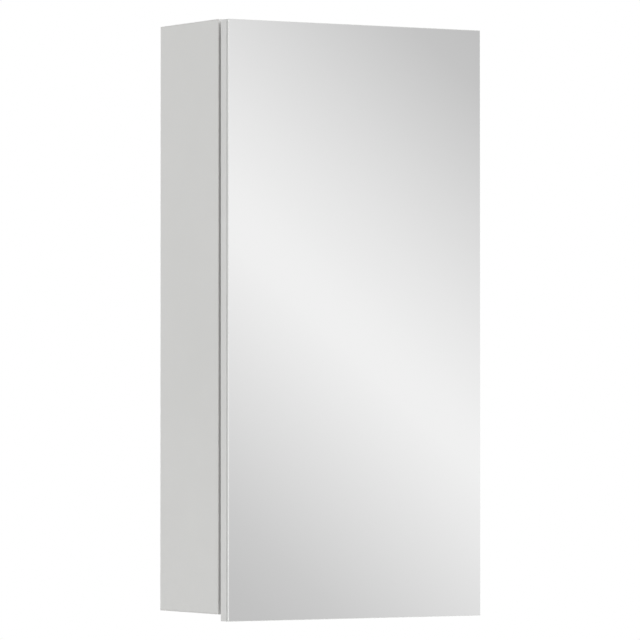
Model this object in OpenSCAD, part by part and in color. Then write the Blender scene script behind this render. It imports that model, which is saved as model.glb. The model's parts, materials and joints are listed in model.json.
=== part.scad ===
// Wall-hung bathroom mirror cabinet with one door, built from separate pieces.
// Millimetres. +X runs to the right along the door, +Y into the wall, +Z up.
// The origin lies on the wall plane, midway between the two wall-screw holes.

/* [Cabinet] */
// width of the carcass, and of the door that covers it
cabinet_w = 300; // [260:1:450]
// height of the carcass
cabinet_h = 600; // [540:1:800]
// depth of the carcass from the wall to its front edge, door not counted
carcass_d = 120.8; // [116:0.1:160]
// thickness of the side, top and bottom boards
board_t = 16; // [15:0.5:19]
// thickness of the back panel
back_t = 3; // [2.5:0.5:4]
// width of the rebate that takes the back panel's rim
rebate_w = 8; // [7:0.5:10]
// thickness of the plastic band glued on a board's cut edge
band_t = 0.8; // [0.4:0.1:1.2]
// play between a board and the recess that it drops into
panel_play = 0.3; // [0.2:0.05:0.6]

/* [Door] */
// gap between the carcass's front edge and the door's back
door_gap = 4.5; // [3.8:0.1:6]
// thickness of the door board
door_board_t = 12; // [12:0.5:18]
// thickness of the adhesive tape behind the mirror
tape_t = 0.8; // [0.5:0.1:1.2]
// width of each tape strip
tape_w = 25; // [15:1:40]
// distance from the mirror's edge to the nearest tape
tape_inset = 14; // [6:1:30]
// number of tape strips
tape_n = 3; // [2:1:5]
// thickness of the mirror glass
mirror_t = 3; // [3:0.5:5]
// width of the ground arris around the mirror's front
arris = 0.5; // [0.3:0.1:1.2]
// height of the carcass's front edge left open above the door
top_reveal = 1.2; // [0.5:0.1:3]
// length of door hanging below the carcass as a finger grip
grip_drop = 6.5; // [3:0.5:20]
// radius of a door bumper
bumper_r = 4; // [3:0.5:6]
// play between a bumper and the carcass with the door shut
bumper_play = 0.3; // [0.2:0.05:0.5]
// distance from the door's top or bottom to a bumper's centre
bumper_inset = 30; // [20:1:60]

/* [Wall mounting] */
// distance from the carcass's top down to the wall-screw holes
hang_drop = 48; // [44:1:60]
// distance from the carcass's side in to a wall-screw hole
hang_inset = 41; // [38:1:48]
// radius of a wall-screw hole
wall_hole_r = 3; // [2.5:0.25:3.5]
// thickness of a hanging bracket's steel
bracket_t = 2; // [1.5:0.25:3]
// width of the bracket's flange on the back panel
bracket_w = 38; // [36:1:46]
// length of the bracket's flange on the side panel
bracket_l = 32; // [28:1:40]
// height of a bracket
bracket_h = 34; // [30:1:44]
// corner radius of a bracket's flange
bracket_corner_r = 4; // [2:0.5:6]
// distance of a bracket screw above or below the wall-screw hole
bracket_screw_dz = 10; // [8:0.5:12]

/* [Panel fittings] */
// distance from a side panel's inner face to a cam lock's centre
cam_reach = 24; // [20:1:34]
// radius of a cam lock
cam_r = 7.5; // [6:0.25:7.5]
// depth of a cam lock's bore
cam_depth = 12.5; // [11.5:0.25:13.5]
// radius of a cam bolt's thread
bolt_thread_r = 3; // [2.5:0.25:3.5]
// radius of a cam bolt's shaft
bolt_shaft_r = 2.5; // [2:0.25:3]
// radius of a cam bolt's head
bolt_head_r = 3.5; // [3:0.25:4]
// length of a cam bolt's head
bolt_head_l = 3; // [2:0.5:4]
// depth to which bolts and dowels enter a side panel
side_bore = 11; // [10:0.5:12.5]
// radius of a dowel
dowel_r = 4; // [3:0.5:4]
// length of a dowel inside a top or bottom panel
dowel_l = 18; // [14:1:24]
// distance from the carcass's front to the front row of cam locks
cam_front = 30; // [24:1:38]
// distance from the wall to the rear row of cam locks
cam_rear = 28; // [22:1:34]
// thickness of the plastic cap over a cam lock
cap_t = 1; // [0.8:0.1:1.5]
// number of back-panel screws up each side
back_screw_n = 4; // [3:1:6]
// distance from the middle to each back-panel screw at the top and bottom
back_screw_x = 62; // [40:1:80]
// radius of a wood screw's shank
wood_screw_r = 1.5; // [1.25:0.05:1.75]
// radius of a wood screw's head
wood_head_r = 3; // [2.6:0.1:3.4]
// length of a wood screw behind the piece that it holds
wood_screw_l = 12; // [9:0.5:12.5]
// radial clearance between a fastener and its hole
hole_play = 0.05; // [0.02:0.01:0.1]

/* [Shelves] */
// thickness of a shelf
shelf_t = 12; // [10:0.5:16]
// depth of a shelf, band included
shelf_d = 100; // [90:1:112]
// height of the lower shelf's top above the carcass's bottom
lower_shelf_h = 198; // [180:1:230]
// height of the upper shelf's top above the carcass's bottom
upper_shelf_h = 388; // [370:1:400]
// pitch of the support holes in the side panels
hole_pitch = 32; // [25:1:32]
// number of spare support holes above and below a shelf's own
spare_holes = 1; // [0:1:1]
// radius of a support's plug
plug_r = 2.5; // [2:0.25:3]
// length of a support's plug
plug_l = 9; // [7:0.5:11]
// thickness of a support's back plate and of its foot
support_t = 1.6; // [1.2:0.1:2]
// width of a support along the shelf's end
support_w = 11; // [9:0.5:14]
// length of a support's foot under the shelf
foot_l = 9; // [7:0.5:12]
// height of a support's back plate above its foot
support_h = 8; // [7:0.5:9.5]
// play between a shelf and the pieces around it
shelf_play = 0.4; // [0.3:0.1:1]
// distance from a shelf's front or rear edge to a support's centre
support_inset = 20; // [14:1:30]

/* [Hinges] */
// distance from the door's top or bottom to a hinge's centre
hinge_inset = 95; // [88:1:110]
// distance from the carcass's front edge back to the mounting-plate screws
plate_setback = 37; // [35:1:40]
// half the distance between a mounting plate's screws
plate_screw_dz = 16; // [15:0.5:18]
// thickness of a mounting plate's wings
plate_t = 2; // [1.5:0.25:2.5]
// width of a mounting plate's wings
wing_w = 13; // [12:0.5:15]
// length of a wing beyond its screw
wing_over = 8; // [7:0.5:9]
// width of plate left beside the rib
plate_rim = 3; // [2:0.5:4]
// height of a mounting plate's rib above the side panel
rib_h = 9; // [8:0.5:9.5]
// half the width of a mounting plate's rib
rib_hw = 4.8; // [4:0.2:5.4]
// distance from the plate's screws back to the clamp screw
clamp_dy = 11; // [10:0.5:12]
// distance from the plate's screws forward to the adjusting screw
adjust_dy = 14; // [12:0.5:15]
// length of rib beyond the clamp and adjusting screws
rib_over = 5; // [4:0.5:6]
// radius of a mounting-plate screw's thread
plate_screw_r = 2.5; // [2:0.25:3]
// radius of a mounting-plate screw's head
plate_head_r = 4.2; // [3.8:0.1:4.6]
// height of a hinge arm above the side panel
arm_h = 12.5; // [12:0.25:13.5]
// half the width of a hinge arm's channel
arm_hw = 7.5; // [7:0.25:8.5]
// wall thickness of a hinge arm's channel
arm_wall = 1.3; // [1:0.1:1.6]
// length of a hinge arm's channel
arm_l = 48; // [44:1:52]
// distance from the carcass's front edge back to the channel's front
arm_setback = 7; // [6:0.5:9]
// play between a hinge arm's channel and the plate's wings
arm_play = 0.5; // [0.3:0.1:0.8]
// distance from the side panel's inner face to the neck's centre line
neck_gap = 3.4; // [3:0.1:4]
// distance that the neck runs from the pivot along the door before it turns
neck_run = 12.5; // [12:0.25:13]
// thickness of the hinge arm's curved neck
neck_t = 2.4; // [2:0.1:2.6]
// half the width of the neck
neck_hw = 5; // [4:0.25:5.2]
// distance from the door's hinge edge in to the pivot
pivot_edge = 7.5; // [7:0.1:7.8]
// distance from the door's back in to the pivot
pivot_depth = 6; // [5.8:0.1:6.5]
// radius of a pivot pin
pivot_r = 1.25; // [1:0.05:1.3]
// radius of the eye around a pivot pin
eye_r = 2.4; // [2.2:0.05:2.5]
// radial running clearance of the eye on its pin
run_play = 0.05; // [0.03:0.01:0.08]
// radius of a hinge cup's bore in the door
cup_r = 17.5; // [17:0.1:18]
// depth of a hinge cup's bore
cup_depth = 10.5; // [10.3:0.1:11.2]
// width of board left between a cup's bore and the door's hinge edge
cup_edge = 3; // [2.8:0.1:3.5]
// wall thickness of a hinge cup
cup_wall = 0.8; // [0.6:0.1:1]
// thickness of a hinge cup's flange
flange_t = 0.8; // [0.6:0.1:1]
// width of a hinge cup's flange beyond the bore
flange_rim = 1.8; // [1.4:0.1:2.4]
// half the distance between a hinge cup's screws
cup_screw_dz = 22.5; // [22:0.25:24]
// distance from a hinge cup's centre to its line of screws
cup_screw_dx = 9.5; // [9:0.25:10.5]
// width of the flange around a cup's screws
ear_w = 14; // [12:0.5:16]
// length of the flange beyond a cup's screw
ear_over = 6.5; // [5:0.5:8]
// thickness of the lugs that hold a pivot pin
lug_t = 3; // [2.4:0.1:3.2]
// side clearance between the neck and each lug
lug_play = 0.3; // [0.2:0.05:0.5]
// thickness of a closing spring's leaf
spring_t = 0.5; // [0.4:0.05:0.6]
// length of a closing spring's flat part
spring_l = 14; // [11:0.5:15]
// length of a closing spring's raised tip
spring_tip = 4.5; // [3.5:0.25:5]
// slope of the raised tip in degrees
spring_slope = 15; // [8:1:18]
// half the width of a closing spring
spring_hw = 4; // [3:0.25:4.5]

/* [Hidden] */
$fn = 48;

// overshoot of a cut past the face that it leaves
cut = 1;

// carcass planes
x_out = cabinet_w / 2;
x_in = x_out - board_t;
y_front = -carcass_d;
y_core = y_front + band_t;
z_top = hang_drop;
z_bot = z_top - cabinet_h;
z_under_top = z_top - board_t;
z_on_bottom = z_bot + board_t;

// door planes
door_back = y_front - door_gap;
board_front = door_back - door_board_t;
mirror_back = board_front - tape_t;
mirror_front = mirror_back - mirror_t;
door_top = z_top - top_reveal;
door_bot = z_bot - grip_drop;
door_h = door_top - door_bot;

// back panel
back_hw = x_in + rebate_w - panel_play;
back_z0 = z_on_bottom - rebate_w + panel_play;
back_z1 = z_under_top + rebate_w - panel_play;
back_screw_col = x_in + rebate_w / 2;
back_screw_row = board_t - rebate_w / 2;
back_screw_inset = 3 * board_t;
back_screw_z0 = z_bot + back_screw_inset;
back_screw_step = (cabinet_h - 2 * back_screw_inset) / (back_screw_n - 1);
sunk_l = wood_head_r - wood_screw_r;

// driver recesses: half width of an arm, and its reach as a share of the head's radius
recess_hw = 0.4;
recess_share = 0.6;
recess_d = 1;
sunk_recess_share = 0.5;
sunk_recess_d = 0.8;
set_recess_share = 0.7;
set_recess_d = 1.2;
screw_head_h = 2;

// panel fittings
fit_z = z_top - board_t / 2;
cam_rows = [y_front + cam_front, -cam_rear];
dowel_y = (cam_rows[0] + cam_rows[1]) / 2;
cam_x = x_in - cam_reach;
cam_floor = z_top - cam_depth;
bolt_bore_r = bolt_head_r + hole_play;
cam_slot_l = 4;
cam_slot_hw = 0.6;
cam_slot_d = 1;

// wall mounting
hang_x = x_out - hang_inset;
y_back_face = -back_t;
bracket_screw_share = 0.7;
bracket_screw_y = y_back_face - bracket_screw_share * bracket_l;

// shelves
shelf_end = x_in - support_t - shelf_play;
shelf_y1 = y_back_face - shelf_play;
shelf_y0 = shelf_y1 - shelf_d;
shelf_tops = [z_bot + lower_shelf_h, z_bot + upper_shelf_h];
support_rows = [shelf_y0 + support_inset, shelf_y1 - support_inset];
plug_rise = support_h / 4;

// hinges
hinge_zs = [door_bot + hinge_inset, door_top - hinge_inset];
pivot_x = x_out - pivot_edge;
pivot_y = door_back - pivot_depth;
cup_x = x_out - cup_edge - cup_r;
cup_floor = door_back - cup_depth + hole_play;
plate_y = y_front + plate_setback;
arm_front = y_front + arm_setback;
arm_top_x = x_in - arm_h;
arm_base_x = x_in - plate_t - arm_play;
clamp_y = plate_y + clamp_dy;
adjust_y = plate_y - adjust_dy;
lug_out = neck_hw + lug_play + lug_t;
wing_corner_r = wing_w / 2 - 0.5;
ear_corner_r = ear_w / 2 - 1;
plate_step = 1;

// the neck's curve: how far its control points lie past the pivot, and its two ends
neck_lift = [0.3, 0.8, 5];
neck_lean = 1.1;
neck_entry = 2;
neck_root = 0.8;
neck_steps = 10;
neck_bend = [
  [pivot_x - neck_run / 2, pivot_y + neck_lift[0]],
  [pivot_x - neck_run, pivot_y + neck_lift[1]],
  [x_in - neck_gap - neck_lean, pivot_y + neck_lift[2]],
  [x_in - neck_gap, y_front + neck_entry]
];
neck = concat(
  [[pivot_x, pivot_y]],
  [for (i = [0 : neck_steps]) curve_at(neck_bend, i / neck_steps)],
  [[x_in - neck_gap - neck_root, arm_front + arm_wall / 2]]
);

// point at share t of a curve with four control points
function curve_at(p, t) =
  pow(1 - t, 3) * p[0] + 3 * pow(1 - t, 2) * t * p[1]
  + 3 * (1 - t) * pow(t, 2) * p[2] + pow(t, 3) * p[3];

// left-hand normal of the step from point i to the next
function step_normal(p, i) = let (d = p[i + 1] - p[i]) [-d[1], d[0]] / norm(d);

// point i of a path moved sideways by h, mitred between its two steps
function offset_point(p, i, h) = let (
    a = step_normal(p, max(i - 1, 0)),
    b = step_normal(p, min(i, len(p) - 2)),
    m = a + b
  ) p[i] + h * m / (m * a);

// outline of a strip of thickness t along a path
function strip(p, t) = concat(
  [for (i = [0 : len(p) - 1]) offset_point(p, i, t / 2)],
  [for (i = [len(p) - 1 : -1 : 0]) offset_point(p, i, -t / 2)]
);

// a round bar along +X, +Y or -X from a point
module bar_x(x, y, z, r, l) {
  translate([x, y, z]) rotate([0, 90, 0]) cylinder(h = l, r = r);
}

module bar_y(x, y, z, r, l) {
  translate([x, y, z]) rotate([-90, 0, 0]) cylinder(h = l, r = r);
}

// a box from its low corner to its high corner
module box(a, b) {
  translate(a) cube(b - a);
}

// the same piece on the carcass's other side, and at its other end
module other_side() {
  mirror([1, 0, 0]) children();
}

module other_end() {
  translate([0, 0, z_top + z_bot]) mirror([0, 0, 1]) children();
}

// four copies: both sides of the top and of the bottom
module corners() {
  children();
  other_side() children();
  other_end() children();
  other_side() other_end() children();
}

// a flat plate with round corners, standing across Y, centred on x and z
module plate_y_round(x, y, z, w, h, t, r) {
  translate([x, y, z]) rotate([-90, 0, 0]) {
    translate([-w / 2 + r, -h / 2, 0]) cube([w - 2 * r, h, t]);
    translate([-w / 2, -h / 2 + r, 0]) cube([w, h - 2 * r, t]);
    for (i = [-1, 1])
      for (j = [-1, 1])
        translate([i * (w / 2 - r), j * (h / 2 - r), 0]) cylinder(h = t, r = r);
  }
}

// the same plate standing across X
module plate_x_round(x, y, z, w, h, t, r) {
  translate([x, y, z]) rotate([0, 0, 90]) mirror([0, 1, 0]) plate_y_round(0, 0, 0, w, h, t, r);
}

// the cross-shaped driver recess in a screw head, opening along -Y
module cross_y(x, y, z, r, d) {
  box([x - r, y - cut, z - recess_hw], [x + r, y + d, z + recess_hw]);
  box([x - recess_hw, y - cut, z - r], [x + recess_hw, y + d, z + r]);
}

// the same recess opening along -X
module cross_x(x, y, z, r, d) {
  box([x - cut, y - r, z - recess_hw], [x + d, y + r, z + recess_hw]);
  box([x - cut, y - recess_hw, z - r], [x + d, y + recess_hw, z + r]);
}

// places of the back-panel screws, as x and z
module at_back_screws() {
  for (i = [0 : back_screw_n - 1])
    for (s = [-1, 1])
      translate([s * back_screw_col, 0, back_screw_z0 + i * back_screw_step]) children();
  for (s = [-1, 1]) {
    translate([s * back_screw_x, 0, z_top - back_screw_row]) children();
    translate([s * back_screw_x, 0, z_bot + back_screw_row]) children();
  }
}

// countersunk screw driven from the rear, grown by g for its hole
module back_screw(g) {
  translate([0, -sunk_l - g, 0]) rotate([-90, 0, 0])
    cylinder(h = sunk_l + g, r1 = wood_screw_r + g, r2 = wood_head_r + 2 * g);
  bar_y(0, -back_t - wood_screw_l - g, 0, wood_screw_r + g, back_t + wood_screw_l);
}

// holes in the right side panel's inner face
module side_holes() {
  for (y = cam_rows)
    for (z = [fit_z, z_top + z_bot - fit_z])
      bar_x(x_in - cut, y, z, bolt_thread_r + hole_play, side_bore + cut + hole_play);
  for (z = [fit_z, z_top + z_bot - fit_z])
    bar_x(x_in - cut, dowel_y, z, dowel_r + hole_play, side_bore + cut + panel_play);
  for (top = shelf_tops)
    for (y = support_rows)
      for (k = [-spare_holes : spare_holes])
        bar_x(x_in - cut, y, top - shelf_t + plug_rise + k * hole_pitch,
              plug_r + hole_play, plug_l + cut + hole_play);
  for (s = [-1, 1])
    bar_x(x_in - cut, bracket_screw_y, s * bracket_screw_dz,
          wood_screw_r + hole_play, wood_screw_l + cut + hole_play);
}

// the rebate along the right side panel's rear edge
module side_rebate() {
  box([x_in - cut, -back_t, z_bot - cut], [x_in + rebate_w, cut, z_top + cut]);
}

module side_board() {
  difference() {
    box([x_in, y_core, z_bot + band_t], [x_out, 0, z_top - band_t]);
    side_rebate();
    side_holes();
    at_back_screws() back_screw(hole_play);
  }
}

module left_side_panel() {
  color("whitesmoke") other_side() side_board();
}

module right_side_panel() {
  color("whitesmoke") difference() {
    side_board();
    for (zh = hinge_zs)
      for (s = [-1, 1])
        bar_x(x_in - cut, plate_y, zh + s * plate_screw_dz,
              plate_screw_r + hole_play, side_bore + cut + hole_play);
  }
}

// bands on the right side panel's front edge and both its ends
module side_bands() {
  box([x_in, y_front, z_bot], [x_out, y_core, z_top]);
  difference() {
    for (z = [z_bot, z_top - band_t])
      box([x_in, y_core, z], [x_out, 0, z + band_t]);
    side_rebate();
  }
}

module side_edge_bands() {
  color("white") {
    side_bands();
    other_side() side_bands();
  }
}

module end_board() {
  difference() {
    box([-x_in, y_core, z_under_top], [x_in, 0, z_top]);
    box([-x_in - cut, -back_t, z_under_top - cut], [x_in + cut, cut, z_under_top + rebate_w]);
    for (s = [0, 1])
      mirror([s, 0, 0]) {
        for (y = cam_rows) {
          translate([cam_x, y, cam_floor]) cylinder(h = cam_depth + cut, r = cam_r + hole_play);
          bar_x(cam_x, y, fit_z, bolt_bore_r, cam_reach + cut);
        }
        bar_x(x_in - dowel_l - panel_play, dowel_y, fit_z,
              dowel_r + hole_play, dowel_l + panel_play + cut);
      }
    at_back_screws() back_screw(hole_play);
  }
}

module top_panel() {
  color("whitesmoke") end_board();
}

module bottom_panel() {
  color("whitesmoke") other_end() end_board();
}

module top_bottom_edge_bands() {
  color("white") {
    box([-x_in, y_front, z_under_top], [x_in, y_core, z_top]);
    other_end() box([-x_in, y_front, z_under_top], [x_in, y_core, z_top]);
  }
}

module back_panel() {
  color("gainsboro") difference() {
    box([-back_hw, -back_t, back_z0], [back_hw, 0, back_z1]);
    at_back_screws() back_screw(hole_play);
    for (s = [-1, 1])
      bar_y(s * hang_x, -back_t - cut, 0, wall_hole_r, back_t + 2 * cut);
  }
}

module back_panel_screws() {
  color("silver") at_back_screws() difference() {
    back_screw(0);
    mirror([0, 1, 0]) cross_y(0, 0, 0, sunk_recess_share * wood_head_r, sunk_recess_d);
  }
}

module cam_bolts() {
  color("silver") corners() for (y = cam_rows) {
    bar_x(x_in, y, fit_z, bolt_thread_r, side_bore);
    bar_x(cam_x + bolt_head_l / 2, y, fit_z, bolt_shaft_r, cam_reach - bolt_head_l / 2);
    bar_x(cam_x - bolt_head_l / 2, y, fit_z, bolt_head_r, bolt_head_l);
  }
}

// drum with the pocket that draws the bolt's head in
module cam_lock(y) {
  pocket = bolt_head_l / 2 + panel_play;
  difference() {
    translate([cam_x, y, cam_floor + hole_play])
      cylinder(h = cam_depth - cap_t - 2 * hole_play, r = cam_r);
    translate([cam_x, y, fit_z]) {
      box([-pocket, -bolt_bore_r, -bolt_bore_r], [pocket, bolt_bore_r, bolt_bore_r]);
      box([0, -bolt_shaft_r - panel_play, -bolt_bore_r],
          [cam_r + cut, bolt_shaft_r + panel_play, bolt_bore_r]);
    }
    translate([cam_x, y, z_top - cap_t - cam_slot_d]) {
      box([-cam_slot_l, -cam_slot_hw, 0], [cam_slot_l, cam_slot_hw, cam_slot_d + cut]);
      box([-cam_slot_hw, -cam_slot_l, 0], [cam_slot_hw, cam_slot_l, cam_slot_d + cut]);
    }
  }
}

module cam_locks() {
  color("darkgray") corners() for (y = cam_rows) cam_lock(y);
}

module cam_caps() {
  color("white") corners() for (y = cam_rows)
    translate([cam_x, y, z_top - cap_t]) cylinder(h = cap_t, r = cam_r);
}

module panel_dowels() {
  color("burlywood") corners() bar_x(x_in - dowel_l, dowel_y, fit_z, dowel_r, dowel_l + side_bore);
}

module shelf(top) {
  box([-shelf_end, shelf_y0 + band_t, top - shelf_t], [shelf_end, shelf_y1, top]);
}

module upper_shelf() {
  color("whitesmoke") shelf(shelf_tops[1]);
}

module lower_shelf() {
  color("whitesmoke") shelf(shelf_tops[0]);
}

module shelf_edge_bands() {
  color("white") for (top = shelf_tops)
    box([-shelf_end, shelf_y0, top - shelf_t], [shelf_end, shelf_y0 + band_t, top]);
}

// plug in the side panel, plate on its face and foot under the shelf
module shelf_support(y, z) {
  bar_x(x_in, y, z + plug_rise, plug_r, plug_l);
  box([x_in - support_t, y - support_w / 2, z - support_t],
      [x_in, y + support_w / 2, z + support_h]);
  box([x_in - support_t - foot_l, y - support_w / 2, z - support_t],
      [x_in, y + support_w / 2, z]);
}

module shelf_supports() {
  color("silver") for (top = shelf_tops)
    for (y = support_rows) {
      shelf_support(y, top - shelf_t);
      other_side() shelf_support(y, top - shelf_t);
    }
}

// bent steel corner: one flange on the back panel, one on the side panel
module hanging_bracket() {
  difference() {
    union() {
      plate_y_round(x_in - bracket_w / 2, y_back_face - bracket_t, 0,
                    bracket_w, bracket_h, bracket_t, bracket_corner_r);
      box([x_in - bracket_w / 2, y_back_face - bracket_t, -bracket_h / 2],
          [x_in, y_back_face, bracket_h / 2]);
      plate_x_round(x_in - bracket_t, y_back_face - bracket_l / 2, 0,
                    bracket_l, bracket_h, bracket_t, bracket_corner_r);
      box([x_in - bracket_t, y_back_face - bracket_l / 2, -bracket_h / 2],
          [x_in, y_back_face, bracket_h / 2]);
    }
    bar_y(hang_x, y_back_face - bracket_t - cut, 0, wall_hole_r, bracket_t + 2 * cut);
    for (s = [-1, 1])
      bar_x(x_in - bracket_t - cut, bracket_screw_y, s * bracket_screw_dz,
            wood_screw_r + hole_play, bracket_t + 2 * cut);
  }
}

module right_hanging_bracket() {
  color("silver") hanging_bracket();
}

module left_hanging_bracket() {
  color("silver") other_side() hanging_bracket();
}

module bracket_screw(z) {
  difference() {
    union() {
      bar_x(x_in - bracket_t - screw_head_h, bracket_screw_y, z, wood_head_r, screw_head_h);
      bar_x(x_in - bracket_t, bracket_screw_y, z, wood_screw_r, bracket_t + wood_screw_l);
    }
    cross_x(x_in - bracket_t - screw_head_h, bracket_screw_y, z, recess_share * wood_head_r, recess_d);
  }
}

module bracket_screws() {
  color("gray") for (s = [-1, 1]) {
    bracket_screw(s * bracket_screw_dz);
    other_side() bracket_screw(s * bracket_screw_dz);
  }
}

// cross-shaped plate with the rib that the arm straddles
module hinge_plate(zh) {
  color("silver") difference() {
    union() {
      plate_x_round(x_in - plate_t, plate_y, zh,
                    wing_w, 2 * (plate_screw_dz + wing_over), plate_t, wing_corner_r);
      box([x_in - plate_t, adjust_y - rib_over - plate_step, zh - rib_hw - plate_rim],
          [x_in, clamp_y + rib_over + plate_step, zh + rib_hw + plate_rim]);
      box([x_in - rib_h, adjust_y - rib_over, zh - rib_hw], [x_in, clamp_y + rib_over, zh + rib_hw]);
    }
    for (s = [-1, 1])
      bar_x(x_in - plate_t - cut, plate_y, zh + s * plate_screw_dz,
            plate_screw_r + hole_play, plate_t + 2 * cut);
    bar_x(x_in - rib_h - cut, clamp_y, zh, plate_screw_r + hole_play, rib_h);
    bar_x(x_in - rib_h - cut, adjust_y, zh, plate_screw_r + hole_play, rib_h);
  }
}

module upper_hinge_plate() {
  hinge_plate(hinge_zs[1]);
}

module lower_hinge_plate() {
  hinge_plate(hinge_zs[0]);
}

// channel over the plate's rib, with a neck that curves into the cup
module hinge_arm(zh) {
  color("lightgray") translate([0, 0, zh]) difference() {
    union() {
      difference() {
        box([arm_top_x, arm_front, -arm_hw], [arm_base_x, arm_front + arm_l, arm_hw]);
        box([arm_top_x + arm_wall, arm_front + arm_wall, -arm_hw + arm_wall],
            [arm_base_x + cut, arm_front + arm_l + cut, arm_hw - arm_wall]);
      }
      translate([0, 0, -neck_hw]) linear_extrude(2 * neck_hw) polygon(strip(neck, neck_t));
      translate([pivot_x, pivot_y, -neck_hw]) cylinder(h = 2 * neck_hw, r = eye_r);
    }
    translate([pivot_x, pivot_y, -neck_hw - cut])
      cylinder(h = 2 * neck_hw + 2 * cut, r = pivot_r + run_play);
    for (y = [clamp_y, adjust_y])
      bar_x(arm_top_x - cut, y, 0, plate_screw_r + hole_play, arm_wall + 2 * cut);
  }
}

module upper_hinge_arm() {
  hinge_arm(hinge_zs[1]);
}

module lower_hinge_arm() {
  hinge_arm(hinge_zs[0]);
}

// pan-head screw along +X, its head's underside at x
module pan_screw_x(x, y, z, l) {
  difference() {
    union() {
      bar_x(x - screw_head_h, y, z, plate_head_r, screw_head_h);
      bar_x(x, y, z, plate_screw_r, l);
    }
    cross_x(x - screw_head_h, y, z, recess_share * plate_head_r, recess_d);
  }
}

module hinge_plate_screws() {
  color("gray") for (zh = hinge_zs)
    for (s = [-1, 1])
      pan_screw_x(x_in - plate_t, plate_y, zh + s * plate_screw_dz, plate_t + side_bore);
}

module hinge_clamp_screws() {
  color("gray") for (zh = hinge_zs)
    pan_screw_x(arm_top_x, clamp_y, zh, arm_h - plate_t - hole_play);
}

module hinge_adjusting_screws() {
  color("dimgray") for (zh = hinge_zs)
    difference() {
      bar_x(arm_top_x + hole_play, adjust_y, zh, plate_screw_r, arm_h - plate_t - 2 * hole_play);
      cross_x(arm_top_x + hole_play, adjust_y, zh, set_recess_share * plate_screw_r, set_recess_d);
    }
}

module cup_hole(zh) {
  bar_y(cup_x, door_back - cup_depth, zh, cup_r, cup_depth + cut);
}

module cup_screw_holes(zh, g, l) {
  for (s = [-1, 1])
    bar_y(cup_x - cup_screw_dx, door_back - l, zh + s * cup_screw_dz, wood_screw_r + g, l + cut);
}

module door_board() {
  color("whitesmoke") difference() {
    box([-x_out + band_t, board_front, door_bot + band_t], [x_out - band_t, door_back, door_top - band_t]);
    for (zh = hinge_zs) {
      cup_hole(zh);
      cup_screw_holes(zh, hole_play, cup_depth);
    }
  }
}

module door_side_edge_bands() {
  color("white") {
    box([x_out - band_t, board_front, door_bot], [x_out, door_back, door_top]);
    other_side() box([x_out - band_t, board_front, door_bot], [x_out, door_back, door_top]);
  }
}

module door_end_edge_bands() {
  color("white") {
    box([-x_out + band_t, board_front, door_top - band_t], [x_out - band_t, door_back, door_top]);
    box([-x_out + band_t, board_front, door_bot], [x_out - band_t, door_back, door_bot + band_t]);
  }
}

module mirror_tape_strips() {
  first = -x_out + tape_inset;
  step = (cabinet_w - 2 * tape_inset - tape_w) / (tape_n - 1);
  color("dimgray") for (i = [0 : tape_n - 1])
    box([first + i * step, mirror_back, door_bot + tape_inset],
        [first + i * step + tape_w, board_front, door_top - tape_inset]);
}

// glass sheet with a ground arris on its four front edges
module mirror_glass() {
  color("lightsteelblue") intersection() {
    translate([0, 0, door_bot]) linear_extrude(door_h)
      polygon([
        [-x_out, mirror_back], [x_out, mirror_back], [x_out, mirror_front + arris],
        [x_out - arris, mirror_front], [-x_out + arris, mirror_front], [-x_out, mirror_front + arris]
      ]);
    translate([-x_out, 0, 0]) rotate([90, 0, 90]) linear_extrude(cabinet_w)
      polygon([
        [mirror_back, door_bot], [mirror_back, door_top], [mirror_front + arris, door_top],
        [mirror_front, door_top - arris], [mirror_front, door_bot + arris], [mirror_front + arris, door_bot]
      ]);
  }
}

// steel cup with a screw flange and two lugs for the pivot pin
module hinge_cup(zh) {
  shell_r = cup_r - hole_play;
  color("silver") translate([0, 0, zh]) difference() {
    union() {
      bar_y(cup_x, cup_floor, 0, shell_r, door_back + flange_t - cup_floor);
      bar_y(cup_x, door_back, 0, cup_r + flange_rim, flange_t);
      plate_y_round(cup_x - cup_screw_dx, door_back, 0,
                    ear_w, 2 * (cup_screw_dz + ear_over), flange_t, ear_corner_r);
    }
    difference() {
      bar_y(cup_x, cup_floor + cup_wall, 0, shell_r - cup_wall, cup_depth + flange_t + cut);
      for (s = [0, 1])
        mirror([0, 0, s])
          box([pivot_x - eye_r - cup_wall, cup_floor - cut, neck_hw + lug_play],
              [x_out, pivot_y + eye_r, lug_out]);
    }
    translate([pivot_x, pivot_y, -lug_out - cut])
      cylinder(h = 2 * lug_out + 2 * cut, r = pivot_r + hole_play);
    for (s = [-1, 1])
      bar_y(cup_x - cup_screw_dx, door_back - cut, s * cup_screw_dz,
            wood_screw_r + hole_play, flange_t + 2 * cut);
  }
}

module upper_hinge_cup() {
  hinge_cup(hinge_zs[1]);
}

module lower_hinge_cup() {
  hinge_cup(hinge_zs[0]);
}

module hinge_pivot_pins() {
  color("dimgray") for (zh = hinge_zs)
    translate([pivot_x, pivot_y, zh - lug_out]) cylinder(h = 2 * lug_out, r = pivot_r);
}

module hinge_cup_screws() {
  head_y = door_back + flange_t;
  color("gray") for (zh = hinge_zs)
    for (s = [-1, 1])
      translate([cup_x - cup_screw_dx, 0, zh + s * cup_screw_dz]) difference() {
        union() {
          bar_y(0, head_y, 0, wood_head_r, screw_head_h);
          bar_y(0, door_back - cup_depth + hole_play, 0, wood_screw_r, cup_depth + flange_t);
        }
        translate([0, head_y + screw_head_h, 0]) mirror([0, 1, 0])
          cross_y(0, 0, 0, recess_share * wood_head_r, recess_d);
      }
}

// leaf on the cup's floor that presses the neck shut
module hinge_closing_springs() {
  y0 = cup_floor + cup_wall;
  spring_bend = pivot_x - 2 * eye_r - spring_tip;
  color("dimgray") for (zh = hinge_zs)
    translate([0, 0, zh]) {
      box([spring_bend - spring_l, y0, -spring_hw], [spring_bend, y0 + spring_t, spring_hw]);
      translate([spring_bend, y0, -spring_hw]) rotate([0, 0, spring_slope])
        cube([spring_tip, spring_t, 2 * spring_hw]);
    }
}

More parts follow.
